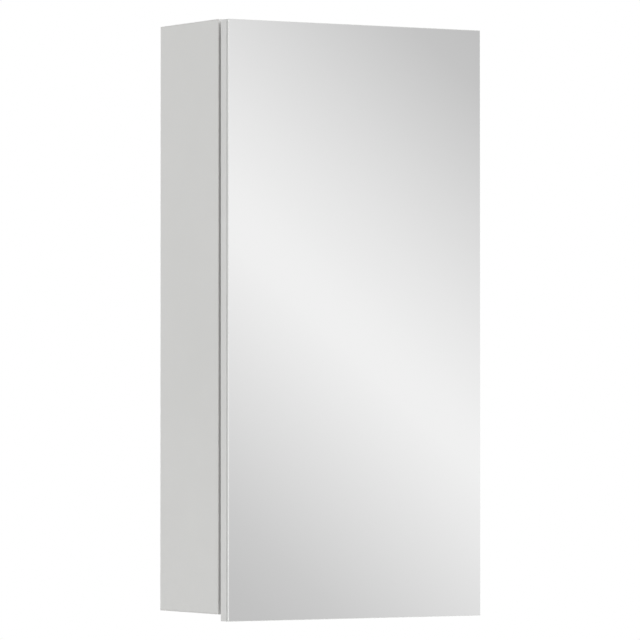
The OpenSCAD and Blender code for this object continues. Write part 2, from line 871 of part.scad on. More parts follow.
module door_bumpers() {
  x = -x_out + board_t / 2;
  color("lightgray") for (z = [door_bot + bumper_inset, door_top - bumper_inset])
    bar_y(x, door_back, z, bumper_r, door_gap - bumper_play);
}

left_side_panel();
right_side_panel();
side_edge_bands();
top_panel();
bottom_panel();
top_bottom_edge_bands();
back_panel();
back_panel_screws();
cam_bolts();
cam_locks();
cam_caps();
panel_dowels();
upper_shelf();
lower_shelf();
shelf_edge_bands();
shelf_supports();
left_hanging_bracket();
right_hanging_bracket();
bracket_screws();
upper_hinge_plate();
lower_hinge_plate();
upper_hinge_arm();
lower_hinge_arm();
hinge_plate_screws();
hinge_clamp_screws();
hinge_adjusting_screws();
door_board();
door_side_edge_bands();
door_end_edge_bands();
mirror_tape_strips();
mirror_glass();
upper_hinge_cup();
lower_hinge_cup();
hinge_pivot_pins();
hinge_cup_screws();
hinge_closing_springs();
door_bumpers();
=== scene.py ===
"""Dresses the frame of a wall-hung bathroom mirror cabinet. Metres, in the frame's axes:
X to the right along the door, Y into the wall, Z up."""

import json
import math

import bmesh
import bpy
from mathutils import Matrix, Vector

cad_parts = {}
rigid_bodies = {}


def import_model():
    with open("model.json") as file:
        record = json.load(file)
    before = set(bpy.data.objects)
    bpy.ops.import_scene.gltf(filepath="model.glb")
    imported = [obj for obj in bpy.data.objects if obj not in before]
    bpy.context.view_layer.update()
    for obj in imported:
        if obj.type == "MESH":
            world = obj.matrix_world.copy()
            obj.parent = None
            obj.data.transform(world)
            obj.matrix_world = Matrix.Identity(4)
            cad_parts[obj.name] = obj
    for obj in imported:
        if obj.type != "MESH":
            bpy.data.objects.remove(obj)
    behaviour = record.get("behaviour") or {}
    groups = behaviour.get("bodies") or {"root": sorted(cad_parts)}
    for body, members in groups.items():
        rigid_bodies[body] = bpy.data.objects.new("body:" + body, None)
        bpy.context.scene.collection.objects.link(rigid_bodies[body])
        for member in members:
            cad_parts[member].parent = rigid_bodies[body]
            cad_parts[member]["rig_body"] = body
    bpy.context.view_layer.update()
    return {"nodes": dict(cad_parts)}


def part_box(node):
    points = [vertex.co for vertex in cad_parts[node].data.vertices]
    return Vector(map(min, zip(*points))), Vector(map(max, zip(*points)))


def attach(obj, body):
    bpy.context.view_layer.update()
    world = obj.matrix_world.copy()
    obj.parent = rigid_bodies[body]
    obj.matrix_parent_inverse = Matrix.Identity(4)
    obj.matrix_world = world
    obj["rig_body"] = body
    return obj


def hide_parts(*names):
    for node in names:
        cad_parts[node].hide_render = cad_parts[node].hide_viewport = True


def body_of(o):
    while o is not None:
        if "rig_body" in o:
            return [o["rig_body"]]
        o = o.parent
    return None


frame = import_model()
scene = bpy.context.scene


# The view. The photograph was taken from left of the cabinet, at about its middle height, far
# off through a long lens that is tipped up by one degree.
camera = bpy.data.objects.new("camera", bpy.data.cameras.new("camera"))
camera.data.sensor_width = 36.0
camera.data.lens = 277.56
camera.location = (-2.6044, -4.4424, -0.3475)
camera.rotation_euler = (math.radians(91.059), 0.0, math.radians(-30.772))
scene.collection.objects.link(camera)
scene.camera = camera
scene.view_settings.view_transform = "Standard"


# The room around it: even white light from all sides, and a large soft lamp in front, on the left
# and behind. Reflections find the room's white graded in soft waves along one slant, and they
# don't find the rear lamp.
def put(tree, kind, feeds=(), **settings):
    """Adds a node with these settings, its inputs fed from other sockets or given plain values."""
    made = tree.nodes.new(kind)
    for name, value in settings.items():
        setattr(made, name, value)
    for name, value in dict(feeds).items():
        if isinstance(value, bpy.types.NodeSocket):
            tree.links.new(value, made.inputs[name])
        else:
            made.inputs[name].default_value = value
    return made


def calc(tree, operation, *values, clamp=False):
    """The result of one sum on numbers."""
    feeds = dict(enumerate(values))
    return put(tree, "ShaderNodeMath", feeds, operation=operation, use_clamp=clamp).outputs[0]


def vector(tree, operation, *values, want="Vector"):
    """The result of one sum on vectors."""
    feeds = dict(enumerate(values))
    return put(tree, "ShaderNodeVectorMath", feeds, operation=operation).outputs[want]


def number_mix(tree, share, a, b):
    """A number that is a where the share is 0, and b where it is 1."""
    return put(tree, "ShaderNodeMix", {0: share, 2: a, 3: b}).outputs[0]


def seen_directly(tree):
    """1 where the camera, a reflection or a look through glass meets the surface."""
    path = put(tree, "ShaderNodeLightPath").outputs
    looks = calc(tree, "MAXIMUM", path["Is Camera Ray"], path["Is Glossy Ray"])
    return calc(tree, "MAXIMUM", looks, path["Is Transmission Ray"])


even_light = 0.34
slant = Vector((0.5791, 0.3643, 0.7294))
slant_period = 0.68
mirrored_level = 0.80
mirrored_swing = 0.20
scene.world = bpy.data.worlds.new("white_room")
scene.world.use_nodes = True
tree = scene.world.node_tree
tree.nodes.clear()
in_reflection = put(tree, "ShaderNodeLightPath").outputs["Is Glossy Ray"]
heading = put(tree, "ShaderNodeTexCoord").outputs["Generated"]
along = vector(tree, "DOT_PRODUCT", heading, slant, want="Value")
wave = calc(tree, "COSINE", calc(tree, "MULTIPLY", along, math.tau / slant_period))
graded = calc(tree, "MULTIPLY_ADD", wave, mirrored_swing, mirrored_level)
shown = number_mix(tree, in_reflection, 1.0, graded)
level = number_mix(tree, seen_directly(tree), even_light, shown)
sky = put(tree, "ShaderNodeBackground", {"Color": (1, 1, 1, 1), "Strength": level})
put(tree, "ShaderNodeOutputWorld", {"Surface": sky.outputs[0]})

lit_spot = Vector((0, 0, -0.25))
for name, power, size, place in (("front_lamp", 70.0, 2.0, (1.3, -2.8, 1.5)),
                                 ("side_lamp", 26.1, 1.5, (-2.95, 0.38, 0.2)),
                                 ("rear_lamp", 52.0, 3.0, (1.1, 3.0, 0.4))):
    lamp = bpy.data.objects.new(name, bpy.data.lights.new(name, "AREA"))
    lamp.data.energy = power
    lamp.data.size = size
    lamp.location = place
    lamp.rotation_euler = (lit_spot - lamp.location).to_track_quat("-Z", "Y").to_euler()
    lamp.visible_glossy = name != "rear_lamp"
    scene.collection.objects.link(lamp)


# The floor, pale and plain, 1.2 m below the cabinet as in a bathroom. It takes the cabinet's
# soft shadow. Further out it turns into the white around it, and lets reflections through to
# the graded room.
def object_place(tree):
    """Where a point of the surface lies on the object, in metres."""
    return put(tree, "ShaderNodeTexCoord").outputs["Object"]


def between(tree, value, low, high, to_low=0.0, to_high=1.0, soft=False):
    """A value moved from one range into another, and held inside it."""
    feeds = {"Value": value, "From Min": low, "From Max": high, "To Min": to_low, "To Max": to_high}
    kind = "SMOOTHSTEP" if soft else "LINEAR"
    return put(tree, "ShaderNodeMapRange", feeds, interpolation_type=kind).outputs[0]


def noise(tree, place, scale, detail=2.0, rough=0.5):
    """A cloudy pattern from 0 to 1, so many waves to the metre."""
    feeds = {"Vector": place, "Scale": scale, "Detail": detail, "Roughness": rough}
    return put(tree, "ShaderNodeTexNoise", feeds).outputs[0]


def surface_mix(tree, share, a, b):
    """A surface that is a where the share is 0, and b where it is 1."""
    return put(tree, "ShaderNodeMixShader", {0: share, 1: a, 2: b}).outputs[0]


def emptied(name):
    """A material without a node in it yet, and its tree."""
    material = bpy.data.materials.new(name)
    material.use_nodes = True
    material.node_tree.nodes.clear()
    return material, material.node_tree


def plain_sheet(name, middle, half_across, half_along):
    """A flat four-cornered sheet, linked into the scene."""
    corners = [middle + x * half_across + y * half_along
               for x, y in ((-1, -1), (1, -1), (1, 1), (-1, 1))]
    mesh = bpy.data.meshes.new(name)
    mesh.from_pydata(corners, [], [(0, 1, 2, 3)])
    sheet = bpy.data.objects.new(name, mesh)
    scene.collection.objects.link(sheet)
    return sheet


floor_z = -1.75
floor_reach = 12.0
shadow_core, shadow_reach = 0.4, 2.5
grain_waves = 30.0
dark_grain, pale_grain = 0.86, 0.90
floor = plain_sheet("floor", Vector((0.0, 0.0, floor_z)),
                    Vector((floor_reach, 0.0, 0.0)), Vector((0.0, floor_reach, 0.0)))
floor_paint, tree = emptied("pale_floor")
place = object_place(tree)
away = vector(tree, "LENGTH", vector(tree, "MULTIPLY", place, (1, 1, 0)), want="Value")
fade = between(tree, away, shadow_core, shadow_reach, soft=True)
grain = noise(tree, place, grain_waves, detail=4.0)
tone = between(tree, grain, 0.0, 1.0, dark_grain, pale_grain)
paint = put(tree, "ShaderNodeBsdfDiffuse", {"Color": tone}).outputs[0]
clear = put(tree, "ShaderNodeBsdfTransparent").outputs[0]
shining = put(tree, "ShaderNodeEmission", {"Strength": 1.0}).outputs[0]
in_reflection = put(tree, "ShaderNodeLightPath").outputs["Is Glossy Ray"]
far_out = surface_mix(tree, in_reflection, shining, clear)
lit = surface_mix(tree, calc(tree, "MULTIPLY", fade, seen_directly(tree)), paint, far_out)
from_below = put(tree, "ShaderNodeNewGeometry").outputs["Backfacing"]
put(tree, "ShaderNodeOutputMaterial", {"Surface": surface_mix(tree, from_below, lit, clear)})
floor.data.materials.append(floor_paint)


# The graded card that the mirror faces. It stands right of the camera, where the mirror looks
# from there, brightest along one slanting line, and it shows in reflections only.
card_middle = Vector((0.6163, -1.1686, -0.2507))
card_along = Vector((0.6300, 0.3679, -0.6839))
card_half = (0.80, 0.90)
card_fade = 0.30
mirror_returns = 0.93
# distance along the slant, and how bright the mirror looks there
grades = ((-0.60, 0.42), (-0.334, 0.545), (-0.270, 0.597), (-0.173, 0.708), (-0.076, 0.815),
          (-0.020, 0.868), (0.0, 0.871), (0.020, 0.867), (0.041, 0.855), (0.110, 0.799),
          (0.149, 0.760), (0.206, 0.701), (0.336, 0.553), (0.60, 0.42))
card = plain_sheet("graded_card", card_middle, card_half[0] * slant, card_half[1] * card_along)
for ray in ("camera", "diffuse", "transmission", "volume_scatter", "shadow"):
    setattr(card, "visible_" + ray, False)
card_light, tree = emptied("graded_light")
offset = vector(tree, "SUBTRACT", object_place(tree), card_middle)
sides = [vector(tree, "DOT_PRODUCT", offset, way, want="Value") for way in (slant, card_along)]
first, last = grades[0][0], grades[-1][0]
ramp = put(tree, "ShaderNodeValToRGB", {"Fac": between(tree, sides[0], first, last)})
stops = ramp.color_ramp.elements
for at, _ in grades[1:-1]:
    stops.new((at - first) / (last - first))
for stop, (_, level) in zip(stops, grades):
    stop.color = [level / mirror_returns] * 3 + [1.0]
inside = [between(tree, calc(tree, "ABSOLUTE", side), half, half - card_fade, soft=True)
          for side, half in zip(sides, card_half)]
shining = put(tree, "ShaderNodeEmission", {"Color": ramp.outputs[0]}).outputs[0]
clear = put(tree, "ShaderNodeBsdfTransparent").outputs[0]
kept = surface_mix(tree, calc(tree, "MULTIPLY", *inside), clear, shining)
put(tree, "ShaderNodeOutputMaterial", {"Surface": kept})
card.data.materials.append(card_light)


# The side panels: 16 mm particle board faced with matt white melamine film, sawn to size. The
# rebate, the bores and the rear edge show the pressed chips; the other edges get a band.
def mixed(tree, share, a, b, how="MIX"):
    """A colour that is a where the share is 0, and b where it is 1."""
    feeds = {0: share, 6: a, 7: b}
    return put(tree, "ShaderNodeMix", feeds, data_type="RGBA", blend_type=how).outputs[2]


def toned(tree, colour, tone):
    """A colour made darker or lighter by a tone around 1."""
    return mixed(tree, 1.0, colour, tone, "MULTIPLY")


def rest_of(tree, share):
    """What a share leaves of 1."""
    return calc(tree, "SUBTRACT", 1.0, share)


def blended(tree, a, b, share_of_a):
    """Two patterns added up, b with the share that a leaves."""
    return calc(tree, "MULTIPLY_ADD", a, share_of_a, calc(tree, "MULTIPLY", b, 1.0 - share_of_a))


def parts_of(tree, place):
    """The three numbers of a vector."""
    return put(tree, "ShaderNodeSeparateXYZ", {0: place}).outputs


def bumps(tree, height, depth, under=None):
    """The normal of a surface that rises by this depth, in metres, where the height is 1."""
    feeds = {"Height": height, "Distance": depth, "Strength": 1.0}
    if under is not None:
        feeds["Normal"] = under
    return put(tree, "ShaderNodeBump", feeds).outputs[0]


def link(tree, inputs, **results):
    """Leads each result to the input of the same name."""
    for label, result in results.items():
        tree.links.new(result, inputs[label.replace("_", " ")])


def new_effect(name, takes, gives):
    """An empty shader group, with its input sockets' outputs and its result's inputs."""
    kinds = {float: "NodeSocketFloat", 3: "NodeSocketVector", 4: "NodeSocketColor"}
    tree = bpy.data.node_groups.new(name, "ShaderNodeTree")
    for way, sockets in (("INPUT", takes), ("OUTPUT", gives)):
        for label, value in sockets.items():
            kind = kinds[float if isinstance(value, float) else len(value)]
            socket = tree.interface.new_socket(name=label, in_out=way, socket_type=kind)
            socket.default_value = value
    return tree, tree.nodes.new("NodeGroupInput").outputs, tree.nodes.new("NodeGroupOutput").inputs


def effect(tree, group, feeds):
    """A group placed in a material with its own values; gives its outputs."""
    return put(tree, "ShaderNodeGroup", feeds, node_tree=group).outputs


def new_finish(name, **plain):
    """A material whose surface has these plain values; gives it, its tree and its surface."""
    material = bpy.data.materials.new(name)
    material.use_nodes = True
    tree = material.node_tree
    surface = tree.nodes["Principled BSDF"]
    for label, value in plain.items():
        surface.inputs[label.replace("_", " ")].default_value = value
    return material, tree, surface.inputs


def coat(name, material):
    """Gives a CAD node its material."""
    node = frame["nodes"][name]
    if not node.material_slots:
        node.data.materials.append(material)
    for slot in node.material_slots:
        slot.material = material


def under_face(tree, takes):
    """How far a point lies under the nearer of a board's two pressed faces."""
    height = vector(tree, "DOT_PRODUCT", object_place(tree), takes["Across"], want="Value")
    return calc(tree, "MINIMUM", *[
        calc(tree, "ABSOLUTE", calc(tree, "SUBTRACT", height, takes[face]))
        for face in ("Low", "High")])


# factory_face: 1 on a board's two pressed faces, 0 on sawn edges and in bores
film_starts, film_ends = 0.00002, 0.00015
factory_face, takes, gives = new_effect(
    "factory_face", {"Across": (1.0, 0.0, 0.0), "Low": 0.0, "High": 0.016}, {"Face": 1.0})
tree = factory_face
link(tree, gives, Face=between(tree, under_face(tree, takes), film_starts, film_ends, 1.0, 0.0))

# film_texture: the fine pearl of a melamine film, with faint cloudy tone and gloss
film_texture, takes, gives = new_effect(
    "film_texture", {"Pearl": 900.0, "Clouds": 7.0, "Shift": (0.0, 0.0, 0.0)},
    {"Tone": 1.0, "Gloss": 0.0, "Height": 0.0})
pattern_range = (0.3, 0.7)  # where most of a cloudy pattern lies
film_tone, film_gloss = (0.985, 1.01), (-0.05, 0.05)
peel_to_pearl, rubbed_to_clouds = 0.2, 6.0
peel_share = 0.6
tree = film_texture
place = vector(tree, "ADD", object_place(tree), takes["Shift"])
pearl = noise(tree, place, takes["Pearl"], detail=2.0, rough=0.6)
peel = noise(tree, place, calc(tree, "MULTIPLY", takes["Pearl"], peel_to_pearl), detail=1.0)
clouds = noise(tree, place, takes["Clouds"], detail=3.0)
rubbed = noise(tree, place, calc(tree, "MULTIPLY", takes["Clouds"], rubbed_to_clouds),
               detail=4.0, rough=0.6)
link(tree, gives,
     Tone=between(tree, clouds, *pattern_range, *film_tone),
     Gloss=between(tree, rubbed, *pattern_range, *film_gloss),
     Height=blended(tree, peel, pearl, peel_share))

# pressed_chips: flat wood chips lying along the board, fine near its faces and coarse inside
pressed_chips, takes, gives = new_effect(
    "pressed_chips", {"Across": (1.0, 0.0, 0.0), "Low": 0.0, "High": 0.016, "Chips": 190.0},
    {"Color": (0.5, 0.36, 0.22, 1.0), "Height": 0.0})
flatness = (2.5,) * 3
ragged_waves, ragged_by = 650.0, (0.002,) * 3
fine_to_coarse = 3.0
fine_layer, coarse_layer = 0.0018, 0.0032
streak_waves, streak_stretch = 2600.0, (1.0, 0.3, 0.2)
cell_share = 0.6
deepest_hollow = 0.7
dark_chip, pale_chip = (0.30, 0.185, 0.095, 1), (0.68, 0.49, 0.29, 1)
tree = pressed_chips
squeezed = vector(tree, "MULTIPLY_ADD", takes["Across"], flatness, (1.0, 1.0, 1.0))
place = vector(tree, "MULTIPLY", object_place(tree), squeezed)
ragged = put(tree, "ShaderNodeTexNoise", {"Vector": place, "Scale": ragged_waves, "Detail": 3.0})
place = vector(tree, "MULTIPLY_ADD", ragged.outputs["Color"], ragged_by, place)
coarse, fine = [
    put(tree, "ShaderNodeTexVoronoi", {"Vector": place, "Scale": scale}).outputs
    for scale in (takes["Chips"], calc(tree, "MULTIPLY", takes["Chips"], fine_to_coarse))]
inner = between(tree, under_face(tree, takes), fine_layer, coarse_layer, soft=True)
cells = mixed(tree, inner, fine["Color"], coarse["Color"])
shade = put(tree, "ShaderNodeSeparateColor", {"Color": cells}).outputs[0]
streaks = noise(tree, vector(tree, "MULTIPLY", place, streak_stretch), streak_waves, detail=3.0)
shade = blended(tree, shade, between(tree, streaks, *pattern_range), cell_share)
hollows = calc(tree, "MULTIPLY", coarse["Distance"], inner)
link(tree, gives,
     Color=mixed(tree, shade, dark_chip, pale_chip),
     Height=between(tree, hollows, 0.0, deepest_hollow, 1.0, 0.0))

# worn_edges: 1 along the outer edges of a box-shaped piece, broken up as handling leaves it
worn_edges, takes, gives = new_effect(
    "worn_edges", {"Low": (0.0, 0.0, 0.0), "High": (1.0, 1.0, 1.0), "Width": 0.0008},
    {"Worn": 0.0})
patch_waves, patch_range = 90.0, (0.42, 0.68)
tree = worn_edges
place = object_place(tree)
from_low = vector(tree, "ABSOLUTE", vector(tree, "SUBTRACT", place, takes["Low"]))
from_high = vector(tree, "ABSOLUTE", vector(tree, "SUBTRACT", takes["High"], place))
gaps = parts_of(tree, vector(tree, "MINIMUM", from_low, from_high))
least, most, total = [calc(tree, pick, calc(tree, pick, gaps[0], gaps[1]), gaps[2])
                      for pick in ("MINIMUM", "MAXIMUM", "ADD")]
second = calc(tree, "SUBTRACT", calc(tree, "SUBTRACT", total, least), most)
rim = between(tree, second, 0.0, takes["Width"], 1.0, 0.0, soft=True)
patches = between(tree, noise(tree, place, patch_waves, detail=4.0, rough=0.7), *patch_range)
link(tree, gives, Worn=calc(tree, "MULTIPLY", rim, patches))


def faced_board(node, axis, shift):
    """Melamine-faced particle board, its thickness along this axis, its clouds moved by shift."""
    film, rubbed_film = (0.835, 0.835, 0.818, 1), (0.70, 0.69, 0.66, 1)
    most_rubbed = 0.35
    film_rough, sawn_rough = 0.42, 0.85
    film_rise, chip_rise = 0.00003, 0.0003
    material, tree, surface = new_finish(node, Specular_IOR_Level=0.4)
    low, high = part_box(node)
    across = [float(axis == number) for number in range(3)]
    board = {"Across": across, "Low": low[axis], "High": high[axis]}
    face = effect(tree, factory_face, board)["Face"]
    chips = effect(tree, pressed_chips, board)
    pearl = effect(tree, film_texture, {"Shift": shift})
    worn = effect(tree, worn_edges, {"Low": low, "High": high})["Worn"]
    white = toned(tree, film, pearl["Tone"])
    white = mixed(tree, calc(tree, "MULTIPLY", worn, most_rubbed), white, rubbed_film)
    gloss = calc(tree, "ADD", pearl["Gloss"], film_rough)
    sawn = bumps(tree, calc(tree, "MULTIPLY", chips["Height"], rest_of(tree, face)), chip_rise)
    link(tree, surface,
         Base_Color=mixed(tree, face, chips["Color"], white),
         Roughness=between(tree, face, 0.0, 1.0, sawn_rough, gloss),
         Normal=bumps(tree, calc(tree, "MULTIPLY", pearl["Height"], face), film_rise, sawn))
    return material


for number, node in enumerate(("left_side_panel", "right_side_panel")):
    coat(node, faced_board(node, 0, (number * 3.1, 0.0, 0.0)))


# The top and bottom panels: the same 16 mm faced particle board, cut to go between the sides,
# bored for the knock-down fittings, and banded in front.
for number, node in enumerate(("top_panel", "bottom_panel")):
    coat(node, faced_board(node, 2, (0.0, number * 2.3, 1.7)))


# The bands on the front edges and on the side panels' ends: white plastic strip 0.8 mm thick,
# glued on hot, trimmed flush and scraped, so that its long edges are slightly rounded.
def settle(obj):
    """Links a finished mesh object, which lies at the origin with its place in its mesh."""
    scene.collection.objects.link(obj)
    return obj


def welded(node):
    """A CAD node's mesh, its triangles joined where their corners meet."""
    same_spot = 1e-6
    shell = bmesh.new()
    shell.from_mesh(frame["nodes"][node].data)
    bmesh.ops.remove_doubles(shell, verts=shell.verts, dist=same_spot)
    return shell


def made_plain(obj, name):
    """The plain mesh that an object's modifier makes; the object is removed."""
    bpy.context.view_layer.update()
    shaped = obj.evaluated_get(bpy.context.evaluated_depsgraph_get())
    mesh = bpy.data.meshes.new_from_object(shaped)
    bpy.data.objects.remove(obj)
    mesh.name = name
    return mesh


def eased(node, name, radius, steps=2):
    """A copy of a CAD node with its corners rounded off; the rounded strips use material slot 2."""
    flat_within, corner_from = math.radians(0.5), math.radians(40.0)
    shell = welded(node)
    bmesh.ops.dissolve_limit(shell, angle_limit=flat_within, verts=shell.verts, edges=shell.edges)
    shell.verts.index_update()
    mesh = bpy.data.meshes.new(name)
    mesh.from_pydata([vert.co for vert in shell.verts], [],
                     [[vert.index for vert in face.verts] for face in shell.faces])
    shell.free()
    for _ in range(2):
        mesh.materials.append(None)
    for polygon in mesh.polygons:
        polygon.use_smooth = True
        polygon.material_index = 0
    rough = settle(bpy.data.objects.new(name + "_raw", mesh))
    rounding = rough.modifiers.new("rounding", "BEVEL")
    rounding.width = radius
    rounding.segments = steps
    rounding.limit_method = "ANGLE"
    rounding.angle_limit = corner_from
    rounding.material = 1
    finished = made_plain(rough, name)
    leanings = [Vector() for _ in finished.vertices]
    for polygon in finished.polygons:
        for vert in polygon.vertices:
            leanings[vert] += polygon.normal * polygon.area
    finished.normals_split_custom_set_from_vertices([leaning.normalized() for leaning in leanings])
    return settle(bpy.data.objects.new(name, finished))


def stand_for(obj, node, main, worn=None):
    """Puts a piece in a CAD node's place, on the same body, in these materials."""
    for number, material in enumerate((main, worn or main)):
        if number < len(obj.data.materials):
            obj.data.materials[number] = material
    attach(obj, body_of(frame["nodes"][node])[0])
    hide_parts(node)


def white_band(node):
    """Matt white edge-band plastic, a little polished where it was scraped."""
    band, scraped_band = (0.84, 0.84, 0.825, 1), (0.66, 0.65, 0.62, 1)
    most_scraped = 0.3
    band_rough, polish = 0.36, -0.08
    band_rise = 0.00002
    material, tree, surface = new_finish(node, Specular_IOR_Level=0.45)
    low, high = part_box(node)
    pearl = effect(tree, film_texture, {"Pearl": 600.0, "Clouds": 11.0})
    worn = effect(tree, worn_edges, {"Low": low, "High": high, "Width": 0.0006})["Worn"]
    white = toned(tree, band, pearl["Tone"])
    scraped = calc(tree, "MULTIPLY", worn, most_scraped)
    gloss = calc(tree, "ADD", pearl["Gloss"], band_rough)
    link(tree, surface,
         Base_Color=mixed(tree, scraped, white, scraped_band),
         Roughness=calc(tree, "MULTIPLY_ADD", worn, polish, gloss),
         Normal=bumps(tree, pearl["Height"], band_rise))
    return material


def trim_bands(node):
    """Bands in a CAD node's place, their edges rounded by the scraper."""
    scraper_round = 0.0003
    stand_for(eased(node, node + "_trimmed", scraper_round), node,
              white_band(node))


trim_bands("side_edge_bands")
trim_bands("top_bottom_edge_bands")


# The knock-down fittings that pull the panels together: plated steel bolts in the sides, their
# heads gripped by die-cast zinc drums in the top and bottom, and beech dowels between.
cloudy_metal, takes, gives = new_effect(
    "cloudy_metal", {"Grain": 500.0, "Draw": (1.0, 1.0, 1.0), "Scratches": 0.3},
    {"Tone": 1.0, "Gloss": 0.0, "Height": 0.0})
metal_tone, metal_gloss = (0.965, 1.02), (-0.05, 0.05)
cloud_waves = 60.0
scratch_waves, scratch_stretch = 1500.0, (1.0, 0.08, 1.0)
scratch_range, handled_range = (0.62, 0.72), (0.45, 0.6)
scratch_share = 0.12
tree = cloudy_metal
place = object_place(tree)
drawn = vector(tree, "MULTIPLY", place, takes["Draw"])
clouds = noise(tree, place, cloud_waves, detail=4.0, rough=0.6)
grain = noise(tree, drawn, takes["Grain"], detail=3.0, rough=0.6)
lines = noise(tree, vector(tree, "MULTIPLY", drawn, scratch_stretch), scratch_waves, detail=1.0)
scratch = calc(tree, "MULTIPLY", between(tree, lines, *scratch_range), takes["Scratches"])
scratch = calc(tree, "MULTIPLY", scratch, between(tree, clouds, *handled_range))
faint = calc(tree, "MULTIPLY", scratch, scratch_share)
link(tree, gives,
     Tone=calc(tree, "SUBTRACT", between(tree, clouds, *pattern_range, *metal_tone), faint),
     Gloss=calc(tree, "ADD", between(tree, grain, *pattern_range, *metal_gloss), faint),
     Height=calc(tree, "SUBTRACT", grain, scratch))


def bare_metal(name, colour, rough, rise, **texture):
    """A plated, cast or ground metal; rise is the height of its grain, in metres."""
    material, tree, surface = new_finish(name, Metallic=1.0)
    grain = effect(tree, cloudy_metal, texture)
    link(tree, surface,
         Base_Color=toned(tree, colour, grain["Tone"]),
         Roughness=calc(tree, "ADD", grain["Gloss"], rough, clamp=True),
         Normal=bumps(tree, grain["Height"], rise))
    return material


zinc_plate = bare_metal("zinc_plated_steel", (0.57, 0.585, 0.60, 1), rough=0.32, rise=0.000006,
                        Grain=700.0)
worn_plate = bare_metal("rubbed_zinc_plate", (0.74, 0.75, 0.76, 1), rough=0.20, rise=0.000003,
                        Grain=700.0)
die_cast = bare_metal("die_cast_zinc", (0.50, 0.50, 0.51, 1), rough=0.46, rise=0.00003,
                      Grain=1100.0, Scratches=0.1)
coat("cam_bolts", zinc_plate)
stand_for(eased("cam_locks", "cam_locks_cast", 0.0003), "cam_locks", die_cast, worn_plate)

dark_beech, pale_beech = (0.50, 0.31, 0.17, 1), (0.66, 0.47, 0.30, 1)
pore_brown = (0.36, 0.20, 0.10, 1)
streak_stretch, beech_streaks = (12.0, 300.0, 300.0), 4.0
pore_stretch, pore_waves, pore_range = (0.12, 1.0, 1.0), 2600.0, (0.60, 0.72)
beech_rise = 0.0001
beech_wood, tree, surface = new_finish("beech", Roughness=0.62)
place = object_place(tree)
along_grain = vector(tree, "MULTIPLY", place, streak_stretch)
streaks = noise(tree, along_grain, beech_streaks, detail=4.0, rough=0.6)
along_pores = vector(tree, "MULTIPLY", place, pore_stretch)
pores = between(tree, noise(tree, along_pores, pore_waves, detail=1.0), *pore_range)
link(tree, surface,
     Base_Color=mixed(tree, pores, mixed(tree, streaks, dark_beech, pale_beech), pore_brown),
     Normal=bumps(tree, calc(tree, "SUBTRACT", streaks, pores), beech_rise))
dowel_chamfer = 0.0010
stand_for(eased("panel_dowels", "panel_dowels_chamfered", dowel_chamfer, steps=1),
          "panel_dowels", beech_wood)


# The caps over the cam locks: thin moulded white plastic discs, pressed in flush, with a
# rounded rim and the faint grain of the mould.
cap_white, cap_rough, mould_rise = (0.83, 0.83, 0.81, 1), 0.34, 0.00003
cap_round = 0.0004
moulded_white, tree, surface = new_finish("moulded_white_plastic", Specular_IOR_Level=0.5)
pearl = effect(tree, film_texture, {"Pearl": 1600.0, "Clouds": 40.0})
link(tree, surface,
     Base_Color=toned(tree, cap_white, pearl["Tone"]),
     Roughness=calc(tree, "ADD", pearl["Gloss"], cap_rough),
     Normal=bumps(tree, pearl["Height"], mould_rise))
stand_for(eased("cam_caps", "cam_caps_moulded", cap_round, steps=3),
          "cam_caps", moulded_white)


# The back panel: 3 mm hardboard slid into the rebates, white-lacquered on its inner side. Its
# brown rear side has the woven print of the screen that it was pressed on.
lacquer_white = (0.80, 0.80, 0.785, 1)
dark_fibre, pale_fibre = (0.16, 0.085, 0.042, 1), (0.33, 0.19, 0.10, 1)
pale_fleck, dark_cloud = (0.46, 0.30, 0.17, 1), (0.17, 0.095, 0.05, 1)
most_flecked, most_clouded = 0.7, 0.35
fibre_rough, lacquer_rough = (0.62, 0.8), 0.4
fibre_waves, fleck_waves, cloud_waves = 420.0, 260.0, 12.0
fleck_stretch = (1.0, 1.0, 3.0)
lacquer_rise, print_rise = 0.00003, 0.00025
thread_share, fibre_share = 0.8, 0.3
skin, edge = 0.00002, 0.00015
screen_pitch = 0.0016
full_turn = 6.2832
hardboard, tree, surface = new_finish("hardboard", Specular_IOR_Level=0.3)
low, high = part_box("back_panel")
place = object_place(tree)
depth = parts_of(tree, place)[1]
lacquered = between(tree, depth, low.y + skin, low.y + edge, 1.0, 0.0)
at_rear = between(tree, depth, high.y - edge, high.y - skin)
fibres = noise(tree, place, fibre_waves, detail=5.0, rough=0.7)
flattened = vector(tree, "MULTIPLY", place, fleck_stretch)
flecks = noise(tree, flattened, fleck_waves, detail=4.0, rough=0.75)
clouds = noise(tree, place, cloud_waves, detail=4.0)
brown = mixed(tree, between(tree, fibres, *pattern_range), dark_fibre, pale_fibre)
brown = mixed(tree, between(tree, flecks, 0.56, 0.70, 0.0, most_flecked), brown, pale_fleck)
brown = mixed(tree, between(tree, clouds, 0.35, 0.65, 0.0, most_clouded), brown, dark_cloud)
pearl = effect(tree, film_texture, {"Pearl": 500.0, "Clouds": 5.0})
rough = between(tree, fibres, *pattern_range, *fibre_rough)
smooth = calc(tree, "ADD", pearl["Gloss"], lacquer_rough)
